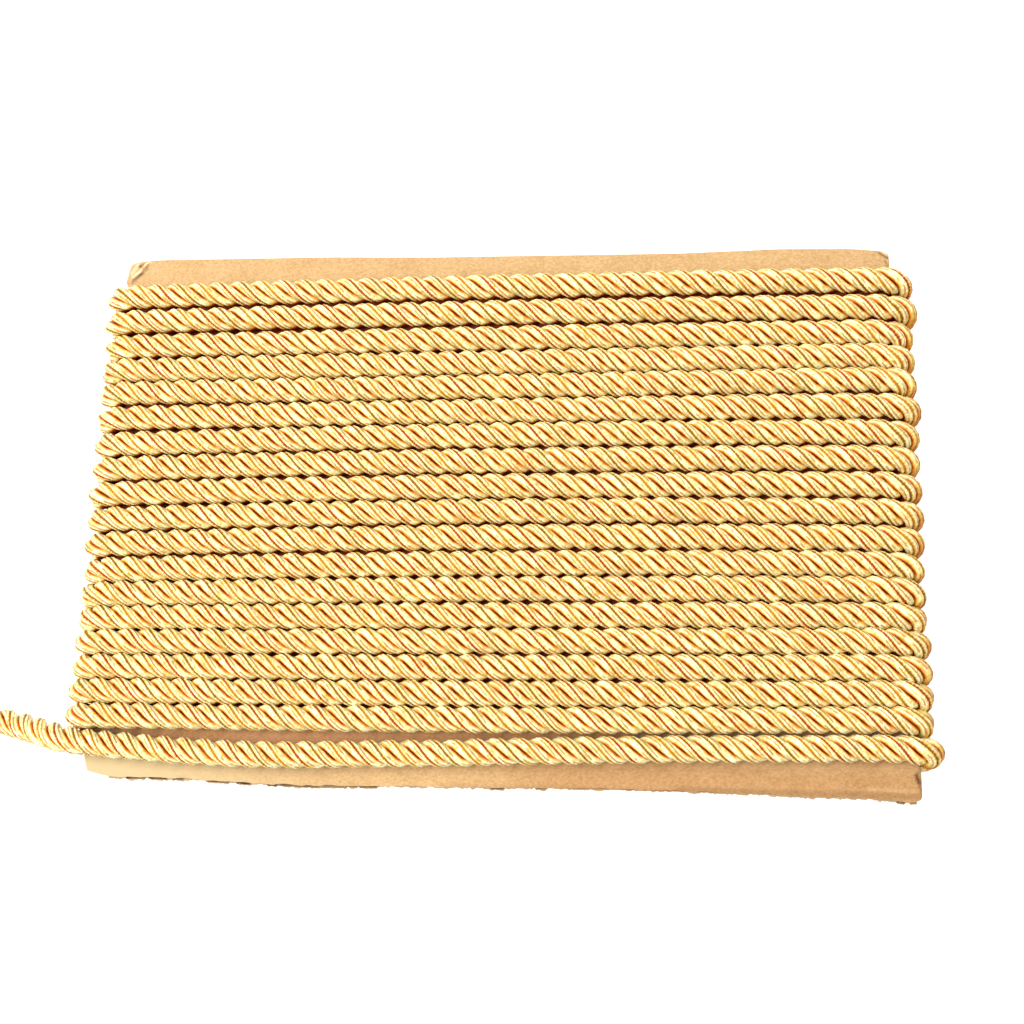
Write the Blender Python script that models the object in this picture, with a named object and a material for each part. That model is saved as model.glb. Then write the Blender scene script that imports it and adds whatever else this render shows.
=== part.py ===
"""Twisted cord trim wound on a cardboard card.

Metres, +Z up, the card lying flat. X runs along the turns, Y from the last turn to the first.
The origin is under the middle of the card and the turns, on the surface that they rest on.
The cord starts on the card's back, runs round it in one layer from the far edge to the near one,
and its loose end leaves the last run, crosses the card's left edge and drops to the surface.
"""

import math
from collections import namedtuple

import bmesh
import bpy
from mathutils import Vector

MM = 0.001

# ---- driving dimensions -------------------------------------------------------------------
CORD_DIAMETER = 8.0 * MM
CARD_THICKNESS = 3.0 * MM
GAP = 0.3 * MM
CORD_SIDES = 12

# The runs of cord on the card's face, far edge first. left, middle and right say how far a run
# lies below the one before it, at x = -RUN_SPAN, 0 and RUN_SPAN. turn_left and turn_right say
# how far from the middle its turns round the card's edges stand out.
RUN_SPAN = 125.0 * MM
FIRST_RUN_Y = (75.0 * MM, 76.9 * MM, 77.4 * MM)
Run = namedtuple("Run", "left middle right turn_left turn_right")
RUNS_MM = (
    Run(0.0, 0.0, 0.0, 140.5, 137.9),
    Run(9.2, 9.3, 9.4, 140.6, 138.5),
    Run(9.0, 9.2, 8.7, 139.6, 137.0),
    Run(8.6, 8.5, 8.0, 140.1, 137.2),
    Run(8.3, 8.4, 8.1, 140.1, 137.5),
    Run(9.0, 8.5, 8.9, 140.2, 138.7),
    Run(9.1, 8.4, 8.8, 140.3, 137.7),
    Run(8.6, 8.7, 8.5, 140.2, 137.5),
    Run(8.8, 8.7, 8.8, 140.9, 138.0),
    Run(8.7, 8.4, 8.8, 140.3, 138.1),
    Run(8.6, 8.6, 8.6, 140.5, 137.9),
    Run(8.8, 8.7, 8.3, 139.9, 137.6),
    Run(8.2, 8.4, 8.0, 140.4, 138.0),
    Run(8.0, 8.5, 8.2, 140.3, 138.0),
    Run(8.0, 8.3, 8.0, 140.6, 138.7),
    Run(8.0, 8.4, 8.1, 140.7, 138.7),
    Run(8.0, 8.3, 8.0, 141.3, 139.1),
    Run(8.0, 8.2, 8.0, 141.4, 138.8),
    Run(16.1, 10.1, 8.8, 142.0, 141.4),
)

# How far a turn slants towards the near edge on its way from the face to the back
SLANT_LEFT = 0.8 * MM
SLANT_RIGHT = 3.4 * MM

# The hidden start of the cord lies on the back, above the first back run and in line with it
START_X = -20.0 * MM
START_RISE = 0.04

# The last run belongs to the winding as far as this x, and is the loose end from there on
LOOSE_FROM_X = -5.0 * MM

STEPS_ALONG_RUN = 4
STEPS_ROUND_TURN = 6

# The card's cut outline beyond the turns: near edge, then far edge
Section = namedtuple("Section", "y left right")
NEAR_SECTIONS_MM = (
    Section(-89.85, -120.0, 132.6),
    Section(-89.3, -127.0, 133.8),
    Section(-88.3, -132.8, 134.2),
    Section(-84.0, -134.3, 134.2),
)
FAR_SECTIONS_MM = (
    Section(82.4, -135.2, 130.4),
    Section(86.4, -134.8, 130.5),
    Section(88.9, -134.0, 130.3),
    Section(89.85, -132.2, 128.6),
)
CUT_EDGE_ROUNDING = 0.5 * MM
STEPS_ROUND_EDGE = 6

# The loose end's route: x, y and height of the cord's middle, in millimetres. It drifts away
# from its neighbour, comes back towards it, crosses the card's edge and slopes to the surface.
ROUTE_MM = (
    (-5.3, -79.0, 15.33),
    (-16.0, -79.5, 15.33),
    (-28.0, -79.9, 15.33),
    (-44.0, -80.4, 15.33),
    (-60.0, -81.0, 15.33),
    (-77.0, -81.3, 15.33),
    (-93.0, -81.0, 15.33),
    (-106.0, -80.4, 15.33),
    (-118.0, -79.7, 15.33),
    (-128.0, -79.1, 15.33),
    (-134.0, -78.6, 15.33),
    (-141.0, -77.7, 14.2),
    (-148.0, -76.4, 11.4),
    (-155.0, -75.0, 7.9),
    (-162.0, -73.6, 5.1),
    (-169.0, -72.4, 4.05),
    (-178.0, -71.2, 4.05),
    (-187.0, -70.4, 4.05),
    (-195.0, -70.2, 4.05),
)
ROUTE_STEP = 1.25 * CORD_DIAMETER

# ---- what follows from them ---------------------------------------------------------------
CORD_RADIUS = CORD_DIAMETER / 2
# From the cord's middle to one of its flat sides
FLAT_RADIUS = CORD_RADIUS * math.cos(math.pi / CORD_SIDES)
BACK_Z = FLAT_RADIUS
CARD_BOTTOM_Z = BACK_Z + FLAT_RADIUS + GAP
CARD_MIDDLE_Z = CARD_BOTTOM_Z + CARD_THICKNESS / 2
CARD_TOP_Z = CARD_BOTTOM_Z + CARD_THICKNESS
FACE_Z = CARD_TOP_Z + GAP + FLAT_RADIUS
TURN_RADIUS = (FACE_Z - BACK_Z) / 2

GOLD = (0.80, 0.52, 0.16, 1.0)
KRAFT = (0.72, 0.47, 0.26, 1.0)


def clear_scene():
    for old in list(bpy.data.objects):
        bpy.data.objects.remove(old, do_unlink=True)


def principled(name, colour, roughness, metallic):
    material = bpy.data.materials.new(name)
    material.use_nodes = True
    shader = material.node_tree.nodes["Principled BSDF"]
    shader.inputs["Base Color"].default_value = colour
    shader.inputs["Roughness"].default_value = roughness
    shader.inputs["Metallic"].default_value = metallic
    material.diffuse_color = colour
    return material


def add_object(name, data, material):
    piece = bpy.data.objects.new(name, data)
    data.materials.append(material)
    bpy.context.scene.collection.objects.link(piece)
    return piece


def run_lines():
    """Each run's y at its left, middle and right, from the steps in the table."""
    lines = [FIRST_RUN_Y]
    for run in RUNS_MM[1:]:
        left, middle, right = lines[-1]
        lines.append((left - run.left * MM, middle - run.middle * MM, right - run.right * MM))
    return lines


def run_y(line, x):
    """y of a gently bowed run at x."""
    left, middle, right = line
    t = x / RUN_SPAN
    return middle + t * (right - left) / 2 + t * t * ((right + left) / 2 - middle)


def turn_centre(run, side):
    """x of the axis that a run's turn bends round; side is -1 on the left and 1 on the right."""
    reach = run.turn_right if side > 0 else run.turn_left
    return side * (reach * MM - CORD_RADIUS - TURN_RADIUS)


def turn_points(line, run, side, to_back):
    """Middles and outward directions round one turn, between the card's face and its back."""
    centre_x = turn_centre(run, side)
    slant = SLANT_RIGHT if side > 0 else SLANT_LEFT
    start_y = run_y(line, centre_x)
    points = []
    for step in range(STEPS_ROUND_TURN + 1):
        part = step / STEPS_ROUND_TURN
        if not to_back:
            part = 1 - part
        angle = math.pi * part
        outward = Vector((side * math.sin(angle), 0.0, math.cos(angle)))
        middle = Vector((centre_x, start_y - slant * part, CARD_MIDDLE_Z)) + outward * TURN_RADIUS
        points.append((middle, outward))
    return points


def face_points(line, from_x, to_x):
    """Middles and outward directions along a run on the card's face, without its two ends."""
    points = []
    for step in range(1, STEPS_ALONG_RUN):
        x = from_x + (to_x - from_x) * step / STEPS_ALONG_RUN
        points.append((Vector((x, run_y(line, x), FACE_Z)), Vector((0.0, 0.0, 1.0))))
    return points


def winding_points():
    """The whole wound cord, from its hidden start to where the loose end begins."""
    lines = run_lines()
    first_turn = turn_points(lines[0], RUNS_MM[0], 1, False)
    first_middle, back_direction = first_turn[0]
    start_y = first_middle.y + START_RISE * (first_middle.x - START_X)
    points = [(Vector((START_X, start_y, BACK_Z)), back_direction)] + first_turn
    for index, (line, run) in enumerate(zip(lines[:-1], RUNS_MM[:-1])):
        points += face_points(line, turn_centre(run, 1), turn_centre(run, -1))
        points += turn_points(line, run, -1, True)
        points += turn_points(lines[index + 1], RUNS_MM[index + 1], 1, False)
    last_line = lines[-1]
    last_start = turn_centre(RUNS_MM[-1], 1)
    points += face_points(last_line, last_start, LOOSE_FROM_X)
    end = Vector((LOOSE_FROM_X, run_y(last_line, LOOSE_FROM_X), FACE_Z))
    points.append((end, Vector((0.0, 0.0, 1.0))))
    return points


def build_wound_cord(material):
    """One closed tube with a flat side towards the card and one away from it."""
    points = winding_points()
    mesh = bmesh.new()
    rings = []
    for index, (middle, outward) in enumerate(points):
        before = points[max(index - 1, 0)][0]
        after = points[min(index + 1, len(points) - 1)][0]
        arriving = (middle - before).normalized()
        leaving = (after - middle).normalized()
        along = arriving + leaving
        along = (along - outward * along.dot(outward)).normalized()
        sideways = along.cross(outward)
        ring = []
        for side in range(CORD_SIDES):
            angle = 2 * math.pi * (side + 0.5) / CORD_SIDES
            offset = outward * math.cos(angle) + sideways * math.sin(angle)
            ring.append(mesh.verts.new(middle + offset * CORD_RADIUS))
        rings.append(ring)
    for ring, following in zip(rings, rings[1:]):
        for side in range(CORD_SIDES):
            other = (side + 1) % CORD_SIDES
            mesh.faces.new((ring[side], ring[other], following[other], following[side]))
    mesh.faces.new(rings[0])
    mesh.faces.new(rings[-1])
    bmesh.ops.recalc_face_normals(mesh, faces=mesh.faces)
    data = bpy.data.meshes.new("wound_cord")
    mesh.to_mesh(data)
    mesh.free()
    data.shade_smooth()
    data.set_sharp_from_angle(angle=math.radians(50))
    return add_object("wound_cord", data, material)


def pressed_edge(side, y):
    """x of the card's edge where the turns pull on it: inside each turn that is near y."""
    near = []
    for line, run in zip(run_lines(), RUNS_MM):
        centre_x = turn_centre(run, side)
        if abs(run_y(line, centre_x) - y) < 1.6 * CORD_DIAMETER:
            near.append(abs(centre_x))
    return side * (min(near) + CARD_THICKNESS / 2)


def card_sections():
    """y, left edge, right edge and edge rounding of the card, from the near edge to the far."""
    rounding = CUT_EDGE_ROUNDING
    near = [(s.y * MM, s.left * MM, s.right * MM, rounding) for s in NEAR_SECTIONS_MM]
    far = [(s.y * MM, s.left * MM, s.right * MM, rounding) for s in FAR_SECTIONS_MM]
    held = []
    for line in reversed(run_lines()[:-1]):
        y = line[1]
        held.append((y, pressed_edge(-1, y), pressed_edge(1, y), CARD_THICKNESS / 2))
    return near + held + far


def section_outline(left, right, rounding):
    """x and z round the card's section, with both side edges rounded."""
    straight = CARD_THICKNESS / 2 - rounding
    outline = []
    for side, edge in ((1, right), (-1, left)):
        for step in range(STEPS_ROUND_EDGE + 1):
            angle = side * math.pi * (step / STEPS_ROUND_EDGE - 0.5)
            x = edge - side * rounding * (1 - math.cos(angle))
            z = math.copysign(straight, math.sin(angle)) if step != STEPS_ROUND_EDGE / 2 else 0.0
            outline.append((x, CARD_MIDDLE_Z + z + rounding * math.sin(angle)))
    return outline


def build_card(material):
    mesh = bmesh.new()
    rings = []
    for y, left, right, rounding in card_sections():
        ring = [mesh.verts.new((x, y, z)) for x, z in section_outline(left, right, rounding)]
        rings.append(ring)
    count = len(rings[0])
    for ring, following in zip(rings, rings[1:]):
        for index in range(count):
            other = (index + 1) % count
            mesh.faces.new((ring[index], ring[other], following[other], following[index]))
    mesh.faces.new(rings[0])
    mesh.faces.new(rings[-1])
    bmesh.ops.recalc_face_normals(mesh, faces=mesh.faces)
    data = bpy.data.meshes.new("card")
    mesh.to_mesh(data)
    mesh.free()
    return add_object("card", data, material)


def smooth_route(points, step):
    """Points a step apart on a smooth curve through the given ones."""
    ends = [points[0] * 2 - points[1]] + points + [points[-1] * 2 - points[-2]]
    fine = []
    for before, start, end, after in zip(ends, ends[1:], ends[2:], ends[3:]):
        for part in range(16):
            t = part / 16
            pull_start = (end - before) * (t * (1 - t) ** 2) / 2
            pull_end = (after - start) * (t * t * (1 - t)) / 2
            blend = t * t * (3 - 2 * t)
            fine.append(start * (1 - blend) + end * blend + pull_start - pull_end)
    fine.append(points[-1])
    lengths = [0.0]
    for first, second in zip(fine, fine[1:]):
        lengths.append(lengths[-1] + (second - first).length)
    count = round(lengths[-1] / step)
    spaced = [fine[0]]
    for index in range(1, count):
        wanted = lengths[-1] * index / count
        nearest = min(range(len(fine)), key=lambda place: abs(lengths[place] - wanted))
        spaced.append(fine[nearest])
    spaced.append(fine[-1])
    return spaced


def build_loose_end(material):
    route = [Vector(point) * MM for point in ROUTE_MM]
    curve = bpy.data.curves.new("loose_end", "CURVE")
    curve.dimensions = "3D"
    curve.bevel_depth = CORD_RADIUS
    curve.bevel_resolution = 4
    curve.use_fill_caps = True
    spline = curve.splines.new("POLY")
    spaced = smooth_route(route, ROUTE_STEP)
    spline.points.add(len(spaced) - 1)
    for target, point in zip(spline.points, spaced):
        target.co = (*point, 1.0)
    return add_object("loose_end", curve, material)


def main():
    clear_scene()
    gold = principled("gold_satin_cord", GOLD, 0.45, 0.0)
    kraft = principled("kraft_cardboard", KRAFT, 0.9, 0.0)
    build_card(kraft)
    build_wound_cord(gold)
    build_loose_end(gold)


main()
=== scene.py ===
"""The looks of a twisted cord trim that is wound on a cardboard card.

Metres, +Z up, in the CAD model's frame: X runs along the turns, Y from the last turn to the first,
and the winding rests on z = 0. The cord is swept along the CAD model's own route, one cross-section
of three strands with two plies each, and the card is two paper liners with a fluted core.
"""

import math
from collections import namedtuple
from functools import partial

import bpy
import numpy as np
from bpy.props import FloatProperty, FloatVectorProperty, IntProperty, PointerProperty
from mathutils import Matrix, Vector, noise


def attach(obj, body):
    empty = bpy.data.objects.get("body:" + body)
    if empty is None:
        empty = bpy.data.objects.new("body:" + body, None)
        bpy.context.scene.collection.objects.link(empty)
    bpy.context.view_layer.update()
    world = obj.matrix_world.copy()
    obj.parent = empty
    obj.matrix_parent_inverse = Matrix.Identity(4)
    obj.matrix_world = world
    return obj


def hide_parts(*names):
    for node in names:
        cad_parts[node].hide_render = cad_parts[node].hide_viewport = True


bl_info = {
    "name": "Twisted cord trim on a card",
    "version": (1, 0, 0),
    "blender": (4, 5, 0),
    "location": "3D View > Sidebar > Cord trim",
    "description": "Dresses the CAD model of a card of twisted cord trim",
    "category": "Object",
}

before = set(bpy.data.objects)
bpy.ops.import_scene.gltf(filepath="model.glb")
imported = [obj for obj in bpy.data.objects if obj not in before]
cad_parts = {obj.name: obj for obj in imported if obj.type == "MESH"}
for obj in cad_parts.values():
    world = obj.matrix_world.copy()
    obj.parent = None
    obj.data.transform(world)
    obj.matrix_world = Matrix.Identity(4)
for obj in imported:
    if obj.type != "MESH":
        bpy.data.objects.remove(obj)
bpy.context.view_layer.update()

MM = 0.001
UP = Vector((0.0, 0.0, 1.0))

# ---- the CAD model's sizes and routes ------------------------------------------------------
CORD_RADIUS = 4.0 * MM
CARD_THICKNESS = 3.0 * MM
GAP = 0.3 * MM
CORD_SIDES = 12

# The runs of cord on the card's face, far edge first. left, middle and right say how far a run
# lies below the one before it, at x = -RUN_SPAN, 0 and RUN_SPAN. turn_left and turn_right say
# how far from the middle its turns round the card's edges stand out. spacing is from one strand
# to the next along the run, and twist how far the strands have turned at its middle, in strands.
RUN_SPAN = 125.0 * MM
FIRST_RUN_Y = (75.0 * MM, 76.9 * MM, 77.4 * MM)
Run = namedtuple("Run", "left middle right turn_left turn_right spacing twist")
RUNS_MM = (
    Run(0.0, 0.0, 0.0, 140.5, 137.9, 7.56, 0.00),
    Run(9.2, 9.3, 9.4, 140.6, 138.5, 7.44, 0.85),
    Run(9.0, 9.2, 8.7, 139.6, 137.0, 7.56, 0.48),
    Run(8.6, 8.5, 8.0, 140.1, 137.2, 7.03, 0.67),
    Run(8.3, 8.4, 8.1, 140.1, 137.5, 7.03, 0.62),
    Run(9.0, 8.5, 8.9, 140.2, 138.7, 6.98, 0.32),
    Run(9.1, 8.4, 8.8, 140.3, 137.7, 7.19, 0.30),
    Run(8.6, 8.7, 8.5, 140.2, 137.5, 6.94, 0.93),
    Run(8.8, 8.7, 8.8, 140.9, 138.0, 7.40, 0.07),
    Run(8.7, 8.4, 8.8, 140.3, 138.1, 7.10, 0.92),
    Run(8.6, 8.6, 8.6, 140.5, 137.9, 7.03, 0.95),
    Run(8.8, 8.7, 8.3, 139.9, 137.6, 6.96, 0.62),
    Run(8.2, 8.4, 8.0, 140.4, 138.0, 6.81, 0.97),
    Run(8.0, 8.5, 8.2, 140.3, 138.0, 6.97, 0.35),
    Run(8.0, 8.3, 8.0, 140.6, 138.7, 7.31, 0.60),
    Run(8.0, 8.4, 8.1, 140.7, 138.7, 6.82, 0.24),
    Run(8.0, 8.3, 8.0, 141.3, 139.1, 6.96, 0.60),
    Run(8.0, 8.2, 8.0, 141.4, 138.8, 7.12, 0.15),
    Run(16.1, 10.1, 8.8, 142.0, 141.4, 7.00, 0.67),
)
SLANT_LEFT = 0.8 * MM
SLANT_RIGHT = 3.4 * MM
START_X = -20.0 * MM
START_RISE = 0.04
LOOSE_FROM_X = -5.3 * MM

# The card's cut outline beyond the turns: near edge, then far edge
Section = namedtuple("Section", "y left right")
NEAR_SECTIONS_MM = (
    Section(-89.85, -120.0, 132.6),
    Section(-89.3, -127.0, 133.8),
    Section(-88.3, -132.8, 134.2),
    Section(-84.0, -134.3, 134.2),
)
FAR_SECTIONS_MM = (
    Section(82.4, -135.2, 130.4),
    Section(86.4, -134.8, 130.5),
    Section(88.9, -134.0, 130.3),
    Section(89.85, -132.2, 128.6),
)
CUT_EDGE_ROUNDING = 0.5 * MM
# The card under the loose end, beside the last turns
UNDER_LOOSE_MM = (
    Section(-79.0, -135.4, 134.2),
    Section(-77.0, -137.6, 134.2),
    Section(-75.2, -137.6, 134.2),
)
LAST_RUN_Y = -80.0 * MM
# How far the card's cut edges stand out of line: x, then the distance
NEAR_WAVE_MM = ((-135.0, -0.3), (-124.0, 0.1), (-115.0, -0.4), (-105.0, -0.3), (-86.0, 0.2),
                (-76.0, 0.7), (-57.0, 0.9), (-37.0, 0.4), (-20.0, 0.1), (0.0, -0.1), (20.0, -0.6),
                (40.0, -0.8), (60.0, -0.8), (88.0, -0.5), (98.0, 0.0), (116.0, -0.2),
                (124.0, 0.2), (129.0, 0.6), (133.0, 0.5))
FAR_WAVE_MM = ((-135.0, 0.4), (-120.0, 0.8), (-60.0, 0.8), (-25.0, 0.1), (60.0, 0.0),
               (95.0, 1.0), (118.0, 0.6), (130.0, -0.5))
WAVE_REACH = 10.0 * MM
# Where the liner is creased: from x, y to x, y, then half its width, and its painted shade, from a
# dark fold, -1, to a painted highlight on a pale ridge, 1
Crease = namedtuple("Crease", "x1 y1 x2 y2 width shade")
CREASES_MM = (
    Crease(-133.2, 84.0, -130.6, 86.0, 0.4, 1.0),
    Crease(-130.6, 86.0, -129.0, 88.6, 0.4, 1.0),
    Crease(-129.0, 88.6, -127.0, 90.2, 0.4, 0.9),
    Crease(-132.6, 82.8, -129.6, 85.4, 0.6, -0.8),
    Crease(-129.6, 85.4, -127.6, 88.6, 0.7, -0.6),
    Crease(-130.7, 88.9, -130.1, 88.0, 0.5, -1.4),
    Crease(-130.0, 88.2, -129.0, 89.6, 0.3, -0.9),
    Crease(-133.2, 86.0, -131.6, 89.6, 1.0, 0.6),
    Crease(127.2, 88.9, 129.8, 87.0, 0.4, -0.8),
    Crease(127.6, 89.6, 130.0, 88.0, 0.4, 0.6),
    Crease(129.0, 85.9, 129.9, 84.0, 0.3, -0.7),
    Crease(132.6, -82.6, 133.4, -84.6, 0.6, -1.3),
    Crease(133.2, -85.0, 133.9, -87.0, 0.5, -0.5),
    Crease(-15.0, -89.3, 60.0, -89.2, 0.7, -0.15),
    Crease(60.0, -88.8, 133.0, -88.7, 1.1, -0.32),
    Crease(118.0, -86.9, 132.0, -87.6, 0.6, 0.2),
)
# Where the far left corner is crushed: x, y and how deep
PRESSED_CORNER_MM = (-130.4, 87.6, 0.9)
# Where the near edge is torn open: from, to, and how dark the painted shade of the gap behind the
# liner is
Tear = namedtuple("Tear", "start end depth")
TEARS_MM = (
    Tear(-120.5, -113.0, 0.9),
    Tear(-112.5, -105.5, 1.0),
    Tear(-104.5, -100.0, 0.7),
    Tear(-93.0, -84.5, 0.9),
    Tear(-83.0, -77.5, 1.0),
    Tear(-72.5, -68.5, 1.0),
    Tear(-69.0, -54.0, 0.75),
    Tear(-55.0, -41.5, 0.55),
    Tear(-42.0, -35.5, 0.8),
    Tear(0.5, 5.5, 0.8),
    Tear(15.0, 19.0, 0.6),
    Tear(126.6, 129.4, 0.8),
    Tear(130.6, 133.4, 0.5),
)

# The loose end's route: x, y and height of the cord's middle
ROUTE_MM = (
    (-5.3, -79.0, 15.33),
    (-16.0, -79.5, 15.33),
    (-28.0, -79.9, 15.33),
    (-44.0, -80.4, 15.33),
    (-60.0, -81.0, 15.33),
    (-77.0, -81.3, 15.33),
    (-93.0, -81.0, 15.33),
    (-106.0, -80.4, 15.33),
    (-118.0, -79.7, 15.33),
    (-128.0, -79.1, 15.33),
    (-134.0, -78.6, 15.33),
    (-141.0, -77.7, 14.2),
    (-148.0, -76.4, 11.4),
    (-155.0, -75.0, 7.9),
    (-162.0, -73.6, 5.1),
    (-169.0, -72.4, 4.05),
    (-178.0, -71.2, 4.05),
    (-187.0, -70.4, 4.05),
    (-195.0, -70.2, 4.05),
)

# How the loose end's lay changes and how it swells towards its cut: distance along it, then
# the lay, then its thickness as a share of the cord's
LOOSE_MM = (
    (0.0, 20.7, 1.0),
    (104.0, 20.0, 1.0),
    (116.0, 20.5, 1.0),
    (122.0, 17.8, 1.0),
    (128.0, 17.8, 1.02),
    (134.0, 21.5, 1.04),
    (140.0, 23.2, 1.04),
    (150.0, 23.0, 1.02),
    (200.0, 21.5, 1.02),
)

FLAT_RADIUS = CORD_RADIUS * math.cos(math.pi / CORD_SIDES)
BACK_Z = FLAT_RADIUS
CARD_BOTTOM_Z = BACK_Z + FLAT_RADIUS + GAP
CARD_MIDDLE_Z = CARD_BOTTOM_Z + CARD_THICKNESS / 2
CARD_TOP_Z = CARD_BOTTOM_Z + CARD_THICKNESS
FACE_Z = CARD_TOP_Z + GAP + FLAT_RADIUS
TURN_RADIUS = (FACE_Z - BACK_Z) / 2

# ---- how the cord is drawn -----------------------------------------------------------------
STEPS_ALONG_RUN = 128
STEPS_ROUND_TURN = 24
ROUTE_SPACING = 0.5 * MM
TURN_EASING = 4.0 * MM
TWIST_WANDER = 26.0 * MM
TWIST_SLACK = 0.05
SPACING_SPAN = 118.0 * MM
STRANDS = 3
PLIES = 2 * STRANDS
POINTS_PER_PLY = 8
# Half a strand's outline: how far from the groove to the seam, and how far out, as a share of
# the cord's radius
PLY_SHAPE = ((0.0, 0.44), (0.125, 0.73), (0.25, 0.79), (0.375, 0.84), (0.5, 0.895),
             (0.625, 0.95), (0.75, 0.99), (0.875, 0.965), (1.0, 0.85))
TURNS_PER_PIECE = 4

# ---- how the card is drawn -----------------------------------------------------------------
# A turn this near pulls the card's edge in
TURN_PULL = 3.2 * CORD_RADIUS
# The columns are laid out for a card twice this wide, and then stretched to fit
HALF_CARD_MM = 130.0
LINER_WAVES = 0.06 * MM
WAVES_PER_METRE = 60
# A liner's outside stays at least this many of its thicknesses from the card's middle
LEAST_HEIGHT = 1.1
PRESSED_SLOPE = 3.0 * MM
CORE_MARGIN = 0.5 * MM
CORE_CLEARANCE = 0.12 * MM
# Uneven layers along the near edge: their size and reach in mm, and their seed
RAGGED_EDGE = ((0.4, 3.2, 3.5), (0.2, 1.1, 7.5))
RAGGED_REACH = 1.5 * MM
LONG_FIBRES = ((0.7, 2.2, 1.5),)
SHORT_FIBRES = ((0.45, 0.7, 5.5),)
# The torn fibres: where their columns stand, and how far they reach under the face liner, hang
# out of an untorn edge and hang further out of a tear
TORN_COLUMNS = np.arange(-126.0, 133.2, 0.4) * MM
TORN_HIDDEN = 1.6 * MM
TORN_FRINGE = 0.3 * MM
TORN_EXTRA = 0.6 * MM
TORN_THICKNESS = 0.15 * MM
# The painted shade of the winding on the liner: how far past the near and the far run it reaches,
# over what distance it fades, and how strong it is beside the last run
SHADE_PAST_NEAR = 2.4 * MM
SHADE_PAST_FAR = 1.6 * MM
SHADE_FADE = 1.2 * MM
SHADE_BESIDE_LAST = 0.35
# A crease fades out at this many of its half widths
CREASE_REACH = 1.4

# ---- the camera ----------------------------------------------------------------------------
CAMERA_PLACE = (46.59 * MM, -78.56 * MM, 398.83 * MM)
CAMERA_FORWARD = (-0.10301, 0.19626, -0.97513)
CAMERA_UP = (-0.00521, 0.98022, 0.19784)
CAMERA_LENS = 42.19
SENSOR_WIDTH = 36.0

# ---- the floor and the light ---------------------------------------------------------------
FLOOR_CORNERS = ((-3.0, -3.0, 0.0), (3.0, -3.0, 0.0), (3.0, 3.0, 0.0), (-3.0, 3.0, 0.0))
KEY_PLACE = (-0.45, 0.08, 1.08)
KEY_SIZE = (1.1, 0.8)


def linear(hex_colour):
    """An sRGB hex colour as linear red, green, blue and alpha."""
    channels = [int(hex_colour[place:place + 2], 16) / 255 for place in (0, 2, 4)]
    curve = [c / 12.92 if c <= 0.04045 else ((c + 0.055) / 1.055) ** 2.4 for c in channels]
    return (*curve, 1.0)


# Short names for the kinds of node that are used most
VECTOR_MATH = "ShaderNodeVectorMath"
MAP_RANGE = "ShaderNodeMapRange"
NOISE = "ShaderNodeTexNoise"
MIX = "ShaderNodeMix"
ATTRIBUTE = "ShaderNodeAttribute"
SEPARATE = "ShaderNodeSeparateXYZ"
COORDINATES = "ShaderNodeTexCoord"
MAPPING = "ShaderNodeMapping"
STORE = "GeometryNodeStoreNamedAttribute"


def add_node(tree, kind, inputs=(), output=0, **settings):
    """Adds a node with its settings and links, and returns the wanted output socket, or the node
    itself where output is None. A kind in capitals is an operation of the Math node. inputs gives
    each input, in order or by its name or number, a value or the output socket that feeds it."""
    if kind.isupper():
        kind, settings["operation"] = "ShaderNodeMath", kind
    node = tree.nodes.new(kind)
    for name, value in settings.items():
        setattr(node, name, value)
    for key, value in inputs.items() if isinstance(inputs, dict) else enumerate(inputs):
        if isinstance(value, bpy.types.NodeSocket):
            tree.links.new(value, node.inputs[key])
        else:
            node.inputs[key].default_value = value
    return node if output is None else node.outputs[output]


def no_nodes_yet(thing):
    """Empties the node tree of a new material or world, and returns a function that adds to it."""
    thing.use_nodes = True
    thing.node_tree.nodes.clear()
    return partial(add_node, thing.node_tree)


def keep_on_points(mesh, **lists):
    """Stores each named list of numbers or vectors on the mesh's vertices."""
    for name, values in lists.items():
        values = np.asarray(values, dtype=np.float32)
        kind, field = ("FLOAT", "value") if values.ndim == 1 else ("FLOAT_VECTOR", "vector")
        mesh.attributes.new(name, kind, "POINT").data.foreach_set(field, values.ravel())


def add_object(name, data):
    """An object of this mesh, light or camera in the scene."""
    thing = bpy.data.objects.new(name, data)
    bpy.context.scene.collection.objects.link(thing)
    return thing


# ---- routes --------------------------------------------------------------------------------
def run_lines():
    """Each run's y at its left, middle and right, from the steps in the table."""
    lines = [FIRST_RUN_Y]
    for run in RUNS_MM[1:]:
        left, middle, right = lines[-1]
        lines.append((left - run.left * MM, middle - run.middle * MM, right - run.right * MM))
    return lines


def run_y(line, x):
    """y of a gently bowed run at x."""
    left, middle, right = line
    t = x / RUN_SPAN
    return middle + t * (right - left) / 2 + t * t * ((right + left) / 2 - middle)


def turn_centre(run, side):
    """x of the axis that a run's turn bends round; side is -1 on the left and 1 on the right."""
    reach = run.turn_right if side > 0 else run.turn_left
    return side * (reach * MM - CORD_RADIUS - TURN_RADIUS)


def turn_points(line, run, side, to_back):
    """Middles and outward directions round one turn, between the card's face and its back."""
    centre_x = turn_centre(run, side)
    slant = SLANT_RIGHT if side > 0 else SLANT_LEFT
    start_y = run_y(line, centre_x)
    points = []
    for step in range(STEPS_ROUND_TURN + 1):
        part = step / STEPS_ROUND_TURN
        if not to_back:
            part = 1 - part
        angle = math.pi * part
        outward = Vector((side * math.sin(angle), 0.0, math.cos(angle)))
        middle = Vector((centre_x, start_y - slant * part, CARD_MIDDLE_Z)) + outward * TURN_RADIUS
        points.append((middle, outward))
    return points


def face_points(line, from_x, to_x, rise=0.0):
    """Middles and outward directions along a run on the card's face, without its two ends. The
    cord rises by a little over the run."""
    points = []
    for step in range(1, STEPS_ALONG_RUN):
        part = step / STEPS_ALONG_RUN
        x = from_x + (to_x - from_x) * part
        z = FACE_Z + rise * part * part * (3 - 2 * part)
        points.append((Vector((x, run_y(line, x), z)), UP))
    return points


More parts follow.
